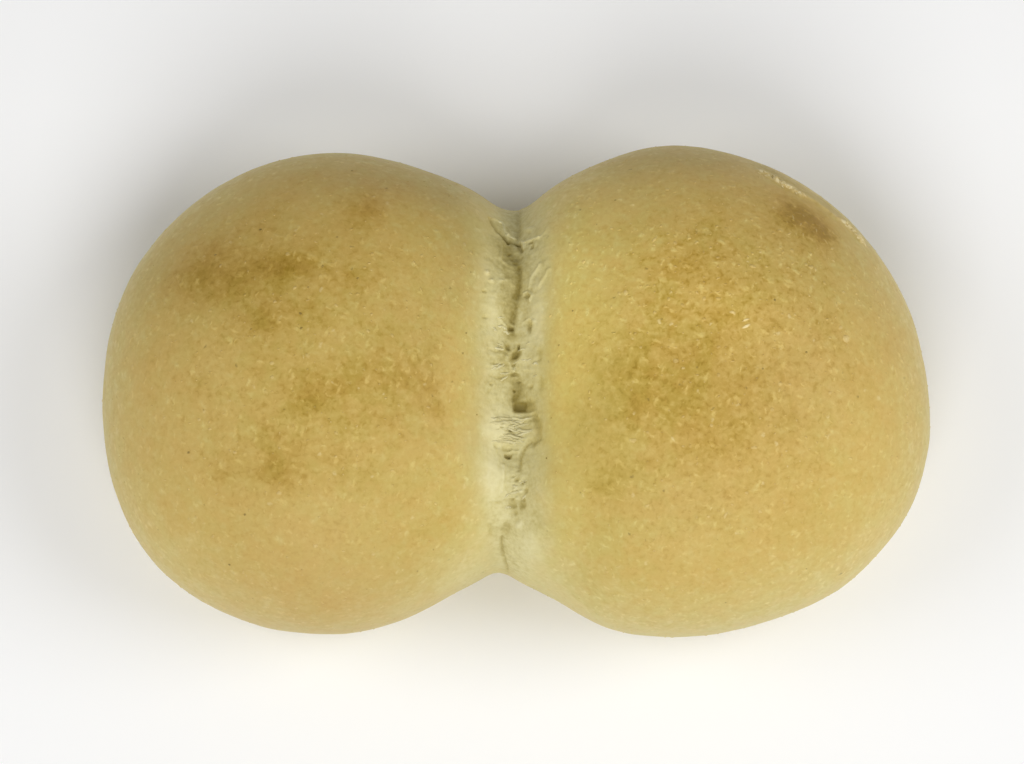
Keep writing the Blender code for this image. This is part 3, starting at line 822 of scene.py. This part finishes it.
dry_patch = cloud(1.7, 3.0).step(0.52, 0.72)
mottle = (cloud(5.5, 3.0) - 0.5) * 0.46 + (cloud(2.0, 3.0) - 0.5) * (flaky * 0.15 + 0.51)
mottle = mottle + (0.22 - dry_patch) * 0.24
# Tiny lumps, in colour only: their light ones are painted light and their dark ones painted
# shade.
lump = cloud(0.9, 2.0, 0.5)
lump_highlight = lump.step(0.52, 0.68)
lump_shade = 1 - lump.step(0.30, 0.48)
# Short dry strokes of skin that lie along, across and aslant, painted paler and lighter: pale
# dry skin, and a painted highlight on these fine wrinkles.
stroke_and_highlight = start.maths(
    "MAXIMUM", specks(1.3, 0.58, 0.60, 0.38, 25), specks(1.15, 0.55, 0.55, 0.38, 105)
)
crinkle_strength = flaky * 0.68 + 0.36
bake = depth_of_bake + mottle + (lump_shade * 0.24 - lump_highlight * 0.16 - stroke_and_highlight * 0.42) * crinkle_strength
crust_colour = start.node(
    "ShaderNodeValToRGB", {"stops": SKIN_COLOURS}, {"Fac": bake / DARKEST}
)
warm = (cloud(4.3, 2.0).step(0.35, 0.65) - 0.5) * 0.12 + attribute("warm")
crust_colour = crust_colour.tint(WARM_GOLD, warm + 0.055)
crust_colour = crust_colour.tint(OLIVE_GOLD, 0.01 - warm)
flecks = specks(2.3, 0.55, 0.40) * (flaky * 0.5 + 0.5)
crust_colour = crust_colour.tint(FLECK_CREAM, flecks * 0.60)
# The random pits are darkened as painted shade; a paleness below 0 is a speck of toasted flour
# as dark as a pit.
pit_shade_and_specks = start.maths("MAXIMUM", specks(2.9, 0.42, 0.40) * 0.55, 0 - pale_flake)
crust_colour = crust_colour.tint(PIT_SHADE_AND_SPECK_BROWN, pit_shade_and_specks)
crust_colour = crust_colour.tint(FLAKE_CREAM, pale_flake)
crust_colour = crust_colour.tint(BRIGHT_CREAM_AND_HIGHLIGHT, (pale_flake - 0.55) * 2)
# The colour's brightness: fairer or duller skin with painted light and shade from the patches
# above, and painted light and shade on the lumps and strokes.
brightness_with_painted_light = 0.985 + fair + (lump_highlight * 0.04 + stroke_and_highlight * 0.12 - lump_shade * 0.05) * crinkle_strength
crust_colour = start.node(
    "ShaderNodeVectorMath", {"operation": "SCALE"}, {0: crust_colour, "Scale": brightness_with_painted_light}
)

# The crumb's colour follows its relief: painted shade in its pores and creases, painted light
# on its ridges, and a random tone.
crumb_tone_and_shade = relief_shade * 0.60 + 0.55 + (cloud(1.3, 2.0) - 0.5) * 0.45
crumb_tone_and_shade = crumb_tone_and_shade + (cloud(0.5, 2.0) - 0.5) * 0.40
crumb_colour = start.node("ShaderNodeValToRGB", {"stops": CRUMB_COLOURS}, {"Fac": crumb_tone_and_shade})
crust_colour.tint(crumb_colour, torn_crumb).feed(shader, "Base Color")
(0.46 + cloud(1.2, 2.0) * 0.16 + torn_crumb * 0.10).feed(shader, "Roughness")
relief_mm = (
    (stroke_and_highlight * 0.04 + flecks * 0.04) * (1 - torn_crumb)
    + cloud(0.8, 2.0) * 0.05
    + cloud(2.0, 2.0) * 0.06
    - pit_shade_and_specks * 0.05
)
start.node(
    "ShaderNodeBump", {}, {"Strength": 1.0, "Distance": 0.001, "Height": relief_mm}
).feed(shader, "Normal")
bread_crust.data.materials.append(crust_finish)
bread_crust.data.shade_smooth()
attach(bread_crust, "root")
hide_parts("potato_bread")

# ------------------------------------------------------------------------ flakes of crust
# Dry pale flakes that lifted as the skin cooled, about a tenth of a millimetre high and
# fading into the crust at their rims. The larger ones have places of their own.
# Marked flakes: X, Y, half length, half width, turn, and how pale.
MARKED_FLAKES = (
    (58.9, 5.7, 1.20, 1.05, 60, 0.64),
    (57.9, 7.4, 0.7, 0.5, 20, 0.48),
    (40.2, 6.9, 1.30, 0.42, 28, 0.85),
    (41.0, 8.1, 1.0, 0.34, 22, 0.75),
    (38.3, 9.6, 0.9, 0.45, -20, 0.68),
    (28.0, 0.7, 0.7, 0.6, 0, 0.35),
    (29.6, 0.0, 0.5, 0.35, 0, 0.55),
    (19.6, 13.2, 0.55, 0.8, 10, 0.5),
    (20.1, -13.5, 0.9, 0.7, 0, 0.45),
    (37.3, -26.4, 0.9, 0.4, 70, 0.5),
    (34.3, -26.4, 0.45, 0.35, 0, 0.5),
    (23.6, -24.4, 0.7, 0.4, 20, 0.4),
    (48.7, -34.0, 0.9, 0.5, 30, 0.4),
    (52.6, 18.5, 0.8, 0.6, 0, 0.4),
    (24.1, 22.9, 0.8, 0.4, 60, 0.45),
    (42.3, 17.8, 0.9, 0.5, -20, 0.4),
    (41.4, -14.9, 0.9, 0.5, 0, 0.4),
    (-43.5, 0.9, 0.6, 0.5, 0, 0.5),
    (-56.3, -9.1, 0.5, 0.4, 0, 0.5),
    (-54.7, -10.3, 0.5, 0.4, 0, 0.4),
    (-50.0, -14.7, 0.6, 0.4, 0, 0.45),
    (-42.5, 11.6, 0.5, 0.4, 0, 0.45),
    (-38.9, 13.7, 0.6, 0.4, 30, 0.45),
    (-41.5, -22.3, 0.6, 0.5, 0, 0.5),
    (-68.7, 1.6, 0.6, 0.7, 0, 0.35),
    (-35.8, -30.9, 0.6, 0.5, 0, 0.5),
    (-52.2, -34.5, 0.5, 0.4, 0, 0.4),
    (6.0, 10.1, 0.5, 0.4, 0, 0.5),
    (49.1, 28.1, 0.95, 0.28, 80, 0.46),
    (48.3, 25.0, 0.75, 0.27, 35, 0.42),
    (50.6, 27.2, 0.65, 0.24, 50, 0.42),
    (53.7, 25.6, 0.80, 0.28, 75, 0.44),
    (54.8, 23.7, 0.90, 0.27, 115, 0.44),
    (56.6, 22.8, 0.75, 0.30, 10, 0.46),
    (56.2, 20.6, 0.45, 0.28, -40, 0.52),
    (53.6, 18.2, 0.30, 0.62, 0, 0.60),
    (51.4, 24.6, 0.65, 0.26, 80, 0.44),
    (43.6, 37.5, 0.75, 0.36, -40, 0.78),
    (44.9, 36.9, 0.70, 0.34, -40, 0.80),
    (46.2, 36.4, 0.75, 0.36, -35, 0.85),
    (47.7, 35.4, 0.75, 0.34, -30, 0.85),
    (49.2, 34.6, 0.75, 0.34, -30, 0.90),
    (50.7, 33.7, 0.65, 0.30, -35, 0.90),
)
# Specks of toasted flour, in the same terms, with how dark as a number below 0.
DARK_SPECKS = (
    (-45.2, 25.7, 0.40, 0.32, 0, -1.0),
    (-29.9, 37.4, 0.34, 0.30, 0, -0.8),
    (-58.3, -14.4, 0.40, 0.34, 0, -0.8),
    (-51.4, -33.3, 0.36, 0.30, 0, -0.8),
    (-48.0, -25.7, 0.40, 0.34, 0, -0.7),
    (-53.2, 21.0, 0.42, 0.36, 0, -0.6),
    (-54.7, 10.9, 0.44, 0.38, 0, -0.6),
    (-38.2, 10.0, 0.40, 0.36, 0, -0.8),
    (-37.5, 6.9, 0.40, 0.30, 40, -0.8),
    (-46.9, 7.3, 0.32, 0.28, 0, -0.6),
    (-28.5, 15.9, 0.34, 0.32, 0, -0.7),
    (-34.7, 18.3, 0.44, 0.32, 70, -0.5),
    (-31.4, 23.5, 0.36, 0.30, 0, -0.5),
    (-36.5, 14.0, 0.34, 0.28, 0, -0.5),
    (45.8, 12.0, 0.34, 0.42, 0, -0.8),
    (51.4, 2.5, 0.32, 0.30, 0, -0.8),
    (9.9, 10.7, 0.28, 0.26, 0, -0.8),
    (17.7, 31.6, 0.40, 0.30, 0, -0.6),
    (43.4, -0.5, 0.30, 0.28, 0, -0.7),
    (25.2, 7.6, 0.34, 0.26, 0, -0.5),
    (-9.1, 7.4, 0.30, 0.28, 0, -0.8),
    (-9.6, 3.7, 0.30, 0.30, 0, -0.6),
    (-8.2, 18.3, 0.26, 0.24, 0, -0.6),
    (7.4, 4.8, 0.30, 0.26, 0, -0.6),
    (5.3, -15.5, 0.30, 0.28, 0, -0.8),
    (6.2, -8.4, 0.28, 0.26, 0, -0.5),
    (-7.1, -7.5, 0.28, 0.26, 0, -0.5),
)
LIP_TATTERS = 70
LIP_TATTERED = ((44.6, 51.9), (59.2, 62.8))  # the two stretches in X that carry them
LOOSE_FLAKES = 1500
FLAKE_HALF_LENGTH = (0.22, 0.62)
FLAKE_HEIGHT = 0.09
FLAKE_SINK = 0.05
FLAKE_RIM = 0.95  # share of its half length beyond which a flake is sunk into the crust
chance = random.Random(27)

bpy.ops.object.select_all(action="DESELECT")
bpy.ops.mesh.primitive_circle_add(vertices=8, radius=1.0, fill_type="TRIFAN")
first_flake = bpy.context.object
bpy.ops.object.mode_set(mode="EDIT")
bpy.ops.mesh.select_all(action="SELECT")
bpy.ops.mesh.inset(thickness=0.42)
bpy.ops.object.mode_set(mode="OBJECT")
disc = np.array([vertex.co[:] for vertex in first_flake.data.vertices])
from_middle = np.hypot(disc[:, 0], disc[:, 1])

skin = places(bread_crust)
facing = outward(bread_crust)
# Each vertex stands for its share of the surface, so that fine nets draw no more flakes.
mesh = bread_crust.data
corner_of = np.empty(len(mesh.loops), np.int32)
mesh.loops.foreach_get("vertex_index", corner_of)
corner_count = np.empty(len(mesh.polygons), np.int32)
mesh.polygons.foreach_get("loop_total", corner_count)
face_area = np.empty(len(mesh.polygons), np.float32)
mesh.polygons.foreach_get("area", face_area)
odds = np.bincount(corner_of, np.repeat(face_area / corner_count, corner_count), len(skin))
odds *= flaky_at(*skin.T)
odds *= (crumb_at(*skin.T) < 0.1) * (skin[:, 2] > TRAY_HEIGHT) * (1 - smooth_beside_lip)
lip_chance = random.Random(3)


def vertex_above(x, y):
    """The vertex of the upper skin that is nearest this X and Y."""
    away = np.hypot(skin[:, 0] - x, skin[:, 1] - y) + (skin[:, 2] < UPPER_SKIN) * FAR_OFF
    return int(np.argmin(away))


spots = []
for x, y, long, wide, turn, paleness in MARKED_FLAKES + DARK_SPECKS:
    spots.append((vertex_above(x, y), long, wide, turn, paleness))
for _ in range(LIP_TATTERS):
    x = lip_chance.choice([lip_chance.uniform(*stretch) for stretch in LIP_TATTERED])
    y = float(line_at(LIP_LINE, x)) + lip_chance.gauss(-0.1, 0.3)
    long, wide = lip_chance.uniform(0.35, 0.9), lip_chance.uniform(0.18, 0.38)
    turn, paleness = lip_chance.gauss(-35, 30), lip_chance.uniform(0.7, 1.0)
    spots.append((vertex_above(x, y), long, wide, turn, paleness))
shortest, longest = FLAKE_HALF_LENGTH
for nearest in chance.choices(range(len(odds)), weights=odds.tolist(), k=LOOSE_FLAKES):
    long = shortest + (longest - shortest) * chance.random() ** 2
    wide = long * chance.uniform(0.3, 0.95)
    spots.append((nearest, long, wide, chance.uniform(0, 180), chance.uniform(0.08, 0.42)))

skin_tree = BVHTree.FromObject(bread_crust, bpy.context.evaluated_depsgraph_get())
flake_faces = [list(face.vertices) for face in first_flake.data.polygons]
# Its underside, one face from rim to rim.
rim_corners = [corner for corner in range(len(disc)) if from_middle[corner] > FLAKE_RIM]
rim_corners.sort(key=lambda corner: -math.atan2(disc[corner][1], disc[corner][0]))
flake_faces.append(rim_corners)
corners, faces, paleness_at = [], [], []
for nearest, long, wide, turn, paleness in spots:
    upright = Vector(facing[nearest])
    east = (Vector((0, 1, 0)) if abs(upright.y) < 0.9 else Vector((1, 0, 0))).cross(upright)
    east.normalize()
    north = upright.cross(east)
    way = math.radians(turn)
    middle = Vector(skin[nearest])
    bow = chance.uniform(-0.25, 0.25) * long
    faces.extend([corner + len(corners) for corner in face] for face in flake_faces)
    for (across, along, _), reach in zip(disc, from_middle):
        rim = chance.uniform(0.72, 1.2)
        a = across * long * rim
        b = along * wide * rim + bow * across * across
        a, b = a * math.cos(way) - b * math.sin(way), a * math.sin(way) + b * math.cos(way)
        spot_mm = middle + east * a + north * b
        on_skin, normal, _, _ = skin_tree.find_nearest(spot_mm * MM)
        rise = FLAKE_HEIGHT * (1.05 - reach) if reach < FLAKE_RIM else -FLAKE_SINK
        corners.append(on_skin + normal * rise * MM)
        paleness_at.append(paleness * min(1.32 - reach, 1) * (reach < FLAKE_RIM))
bpy.data.objects.remove(first_flake)
flake_mesh = bpy.data.meshes.new("crust_flakes")
flake_mesh.from_pydata(corners, [], faces)
crust_flakes = bpy.data.objects.new("crust_flakes", flake_mesh)
bpy.context.scene.collection.objects.link(crust_flakes)
paint(crust_flakes, "pale", np.array(paleness_at))
x, y, z = places(crust_flakes).T
paint(crust_flakes, "baked", baked_at(x, y, z))
paint(crust_flakes, "fair", patches_at(FAIR_SKIN_AND_PAINTED_LIGHT, x, y, z))
paint(crust_flakes, "warm", patches_at(WARM, x, y, z))
paint(crust_flakes, "flaky", flaky_at(x, y, z))
crust_flakes.data.materials.append(crust_finish)
crust_flakes.data.shade_smooth()
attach(crust_flakes, "root")

# ----------------------------------------------------------------------- strands of crumb
# Threads of moist dough that stretched from bun to bun as they came apart. They are pale,
# a few tenths of a millimetre thick, and run into the crumb at both ends.
# Where they are: X from and to, Y from and to, how many, length from and to, usual turn,
# and how far they stray from it.
STRAND_BEDS = (
    (-3.6, 1.6, -12.2, -7.4, 30, 1.4, 4.2, 2, 13),
    (-4.2, -1.6, -0.6, 5.6, 7, 1.2, 2.2, 8, 18),
    (0.8, 3.4, -0.5, 6.0, 6, 0.9, 1.8, 20, 30),
    (-4.0, -1.2, 7.4, 11.0, 5, 0.9, 1.8, -40, 30),
    (-1.6, 2.0, -24.4, -18.4, 7, 0.9, 2.0, 20, 50),
)
# The rims of the two torn flaps, and the clearest single strands: radius and points.
RIM_STRANDS = (
    (
        0.15,
        ((-4.7, 29.4), (-3.5, 28.8), (-2.7, 28.9), (-2.3, 28.3), (-2.2, 27.0), (-1.8, 26.2)),
    ),
    (0.15, ((-1.9, 26.3), (-0.9, 25.8), (-0.2, 25.6))),
    (0.16, ((0.9, 24.5), (1.9, 24.8), (2.8, 25.0), (4.1, 25.1))),
    (0.12, ((1.3, 24.7), (1.4, 24.0), (1.2, 23.3))),
    (0.11, ((-3.9, 5.6), (-3.1, 5.5), (-2.3, 5.2))),
    (0.10, ((-4.0, 1.4), (-2.8, 1.3), (-1.6, 1.6))),
    (0.10, ((-0.7, 2.0), (0.1, 2.4), (0.9, 3.0))),
    (0.13, ((-2.5, -7.2), (-1.8, -7.1), (-1.1, -7.3))),
    (0.13, ((-0.1, -6.9), (0.5, -7.1), (1.1, -7.3))),
)
STRAND_RADIUS = (0.13, 0.28)
STRAND_LIFT = 0.10
STRAND_SINK = 0.10  # how deep its ends run into the crumb
STRAND_SAG = 0.4  # how far one that spans may hang below its lower end
STRAND_BENDS = 7
STRAND_WAVE = 0.14
ABOVE_ROLL = 90.0
STRAND_COLOURS = ((0.3, (0.58, 0.52, 0.26)), (0.7, (0.71, 0.65, 0.38)))
chance = random.Random(5)
strand_line = bpy.data.curves.new("crumb_strands", "CURVE")
strand_line.dimensions = "3D"
strand_line.resolution_u = 2
strand_line.bevel_depth = MM
strand_line.bevel_resolution = 1
strand_line.use_fill_caps = True


def lay_strand(run, thick, lift, spans):
    """One strand along this run of X and Y in mm, sunk into the crumb at both ends. One
    that spans does not dip into the hollows under it."""
    last = len(run) - 1
    points = []
    for step, (px, py) in enumerate(run):
        start_at = Vector((px, py, ABOVE_ROLL)) * MM
        on_skin = skin_tree.ray_cast(start_at, Vector((0, 0, -1)))[0]
        raised = lift * math.sin(math.pi * step / last) - STRAND_SINK
        points.append(on_skin + Vector((0, 0, raised * MM)))
    lowest = min(points[0].z, points[-1].z) - STRAND_SAG * MM
    spline = strand_line.splines.new("NURBS")
    spline.points.add(last)
    for step, (point, spot_mm) in enumerate(zip(spline.points, points)):
        height = max(spot_mm.z, lowest) if spans and 0 < step < last else spot_mm.z
        point.co = (spot_mm.x, spot_mm.y, height, 1)
        point.radius = thick * (0.45 + 0.75 * math.sin(math.pi * step / last))
    spline.use_endpoint_u = True
    spline.order_u = min(4, last + 1)


for thick, run in RIM_STRANDS:
    lay_strand(run, thick, STRAND_LIFT, False)
for west, east, south, north, count, short, long, turn, stray in STRAND_BEDS:
    for _ in range(count):
        mid_x, mid_y = chance.uniform(west, east), chance.uniform(south, north)
        length = chance.uniform(short, long)
        way = math.radians(turn + chance.gauss(0, stray))
        run = []
        for step in range(STRAND_BENDS):
            along = (step / (STRAND_BENDS - 1) - 0.5) * length
            wave = chance.gauss(0, STRAND_WAVE)
            run.append((mid_x + along * math.cos(way) - wave * math.sin(way),
                        mid_y + along * math.sin(way) + wave * math.cos(way)))
        thick = chance.uniform(*STRAND_RADIUS)
        lay_strand(run, thick, STRAND_LIFT * chance.uniform(0.2, 1.0), True)
crumb_strands = bpy.data.objects.new("crumb_strands", strand_line)
bpy.context.scene.collection.objects.link(crumb_strands)
alone(crumb_strands)
bpy.ops.object.convert(target="MESH")
crumb_strands = bpy.context.object

strand_finish, shader, start = new_finish("moist_crumb", 0.55, 0.35)
spot = start.node("ShaderNodeTexCoord", {}, {}, 3)
place = start.node("ShaderNodeVectorMath", {"operation": "SCALE"}, {0: spot, "Scale": 1 / MM})
start.node(
    "ShaderNodeValToRGB",
    {"stops": STRAND_COLOURS},
    {"Fac": cloud(1.1, 2.0)},
).feed(shader, "Base Color")
start.node(
    "ShaderNodeBump", {}, {"Strength": 0.6, "Distance": 0.001, "Height": cloud(0.3, 2.0) * 0.04}
).feed(shader, "Normal")
crumb_strands.data.materials.append(strand_finish)
crumb_strands.data.shade_smooth()
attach(crumb_strands, "root")

# --------------------------------------------------------------------- floor and lighting
# A plain pale table in an even pale room, with one wide soft lamp in front of the roll and
# a weaker one at each end. The lamps: name, the way to it, and its watts.
TABLE_SIZE = 4.0
TABLE_GAP = 0.2 * MM
ROOM_LIGHT = 0.26
LAMPS = (
    ("front_lamp", (0.0, -0.7, 0.7), 5.6),
    ("right_lamp", (0.7, 0.0, 0.7), 4.6),
    ("left_lamp", (-0.7, 0.0, 0.7), 2.9),
)
LAMP_DISTANCE = 1.1
LAMP_SIZE = 0.7
bpy.ops.object.select_all(action="DESELECT")
bpy.ops.mesh.primitive_plane_add(size=TABLE_SIZE, location=(0, 0, -TABLE_GAP))
floor = bpy.context.object
floor.name = "floor"
floor_finish, shader, _ = new_finish("pale_table", 0.9, 0.1)
shader.inputs["Base Color"].default_value = (0.95, 0.95, 0.95, 1)
floor.data.materials.append(floor_finish)

room = bpy.data.worlds.new("pale_room")
room.use_nodes = True
room.node_tree.nodes["Background"].inputs["Color"].default_value = (1, 1, 1, 1)
room.node_tree.nodes["Background"].inputs["Strength"].default_value = ROOM_LIGHT
bpy.context.scene.world = room

for name, way, watts in LAMPS:
    way = Vector(way).normalized()
    lamp = bpy.data.lights.new(name, "AREA")
    lamp.shape = "DISK"
    lamp.size = LAMP_SIZE
    lamp.energy = watts
    stand = bpy.data.objects.new(name, lamp)
    bpy.context.scene.collection.objects.link(stand)
    stand.location = way * LAMP_DISTANCE
    stand.rotation_euler = way.to_track_quat("Z", "Y").to_euler()

# --------------------------------------------------------------------------------- camera
# It looks down steeply from a little in front of the roll. The long lens keeps the outline
# that of the photograph.
LENS_MM = 250
SENSOR_MM = 36
VIEW_WIDTH = 185.3 * MM  # across the picture, at the height of the bellies
AIM = Vector((-0.8, 1.6, 17.5)) * MM
ELEVATION = math.radians(82)
lens = bpy.data.cameras.new("camera")
lens.lens = LENS_MM
lens.sensor_width = SENSOR_MM
lens.clip_start = 0.05
camera = bpy.data.objects.new("camera", lens)
bpy.context.scene.collection.objects.link(camera)
away = Vector((0, -math.cos(ELEVATION), math.sin(ELEVATION)))
camera.location = AIM + away * (VIEW_WIDTH * LENS_MM / SENSOR_MM)
camera.rotation_euler = away.to_track_quat("Z", "Y").to_euler()
bpy.context.scene.camera = camera
bpy.context.scene.view_settings.view_transform = "Standard"
